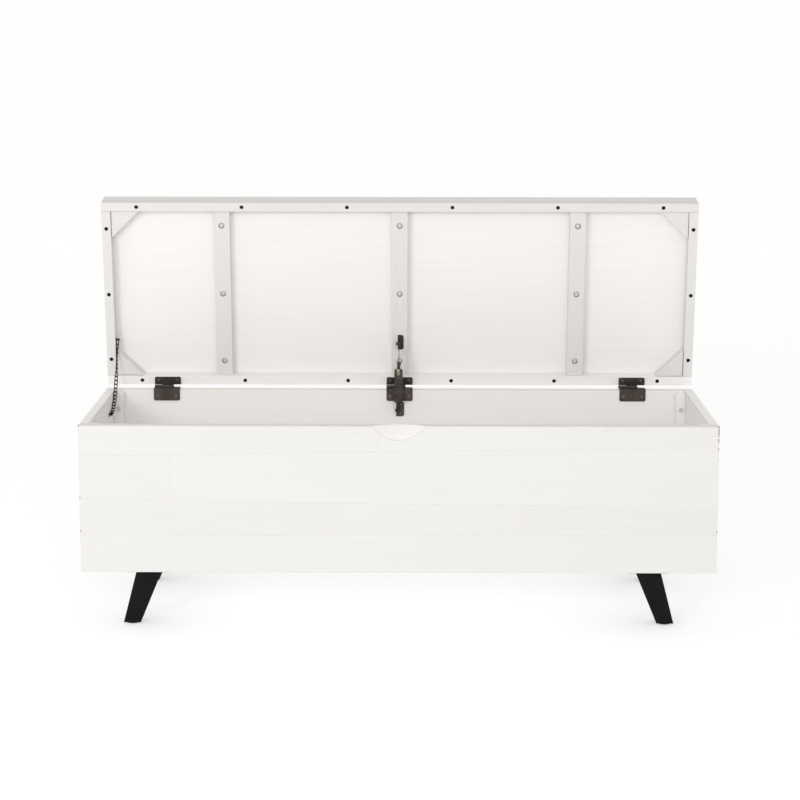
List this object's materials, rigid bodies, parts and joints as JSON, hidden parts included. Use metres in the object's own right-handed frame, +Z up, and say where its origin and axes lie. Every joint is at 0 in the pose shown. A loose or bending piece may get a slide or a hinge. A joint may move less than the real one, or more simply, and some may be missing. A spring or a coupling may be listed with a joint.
{
  "type": "storage bench",
  "caption": "Long whitewashed wooden storage bench on splayed black steel legs, its panelled seat lid hinged open on a folding stay and a safety chain.",
  "frame": {"origin": "on the floor, at the centre of the bounding box with the lid open as stored", "axes": "+Z up; the front faces -Y; +X runs along the bench, to the right seen from the front"},
  "size_m": [1.219, 0.4536, 0.7986],
  "materials": {
    "whitewashed_wood": "hand-scraped, whitewashed",
    "painted_interior": "sprayed matt white",
    "black_steel": "satin powder coat",
    "bronze_steel": "dark antique bronze",
    "painted_screw": "overpainted zinc",
    "brass": "turned",
    "black_nylon": "matt"
  },
  "bodies": {
    "box": {"front_panel": "whitewashed_wood", "back_panel": "whitewashed_wood", "bottom_panel": "painted_interior", "left_end_panel": "whitewashed_wood", "right_end_panel": "whitewashed_wood", "corner_post_front_left": "painted_interior", "leg_front_left": "black_steel", "foot_glide_front_left": "black_nylon", "corner_post_rear_left": "painted_interior", "leg_rear_left": "black_steel", "foot_glide_rear_left": "black_nylon", "corner_post_front_right": "painted_interior", "leg_front_right": "black_steel", "foot_glide_front_right": "black_nylon", "corner_post_rear_right": "painted_interior", "leg_rear_right": "black_steel", "foot_glide_rear_right": "black_nylon", "hinge_box_leaf_left": "bronze_steel", "hinge_pin_left": "bronze_steel", "hinge_box_leaf_centre": "bronze_steel", "hinge_pin_centre": "bronze_steel", "hinge_box_leaf_right": "bronze_steel", "hinge_pin_right": "bronze_steel", "stay_box_bracket": "bronze_steel", "stay_box_pin": "bronze_steel", "chain_box_anchor": "bronze_steel", "chain": "bronze_steel"},
    "lid": {"lid_top_panel": "whitewashed_wood", "lid_rail_front": "painted_interior", "lid_rail_rear": "painted_interior", "lid_rail_left": "painted_interior", "lid_rail_right": "painted_interior", "lid_batten_left": "painted_interior", "batten_screw_left_front": "painted_screw", "batten_screw_left_middle": "painted_screw", "batten_screw_left_rear": "painted_screw", "hinge_lid_leaf_left": "bronze_steel", "lid_batten_centre": "painted_interior", "batten_screw_centre_front": "painted_screw", "batten_screw_centre_middle": "painted_screw", "batten_screw_centre_rear": "painted_screw", "hinge_lid_leaf_centre": "bronze_steel", "lid_batten_right": "painted_interior", "batten_screw_right_front": "painted_screw", "batten_screw_right_middle": "painted_screw", "batten_screw_right_rear": "painted_screw", "hinge_lid_leaf_right": "bronze_steel", "lid_gusset_front_left": "painted_interior", "lid_gusset_rear_left": "painted_interior", "lid_gusset_front_right": "painted_interior", "lid_gusset_rear_right": "painted_interior", "stay_lid_bracket": "bronze_steel", "stay_lid_pin": "bronze_steel", "chain_lid_anchor": "bronze_steel"},
    "stay_housing": {"stay_housing": "bronze_steel", "stay_plunger": "brass", "stay_elbow_pin": "bronze_steel"},
    "stay_blade": {"stay_blade": "bronze_steel"}
  },
  "joints": [
    {"name": "lid_hinge", "type": "hinge", "parent": "box", "child": "lid", "pos_m": [0, 0.16616, 0.4015], "axis": [1, 0, 0], "range_deg": [0, 82.6], "deforming": ["chain"]},
    {"name": "stay_box_pivot", "type": "hinge", "parent": "box", "child": "stay_housing", "pos_m": [0, 0.13316, 0.358], "axis": [1, 0, 0], "range_deg": [0, 79.5]},
    {"name": "stay_elbow", "type": "hinge", "parent": "stay_housing", "child": "stay_blade", "pos_m": [0, 0.12711, 0.45581], "axis": [1, 0, 0], "range_deg": [-98.5, 0]}
  ],
  "couplings": [
    {"joint": "stay_box_pivot", "follows": "lid_hinge", "ratio": 0.95515},
    {"joint": "stay_elbow", "follows": "lid_hinge", "ratio": -1.1826}
  ]
}
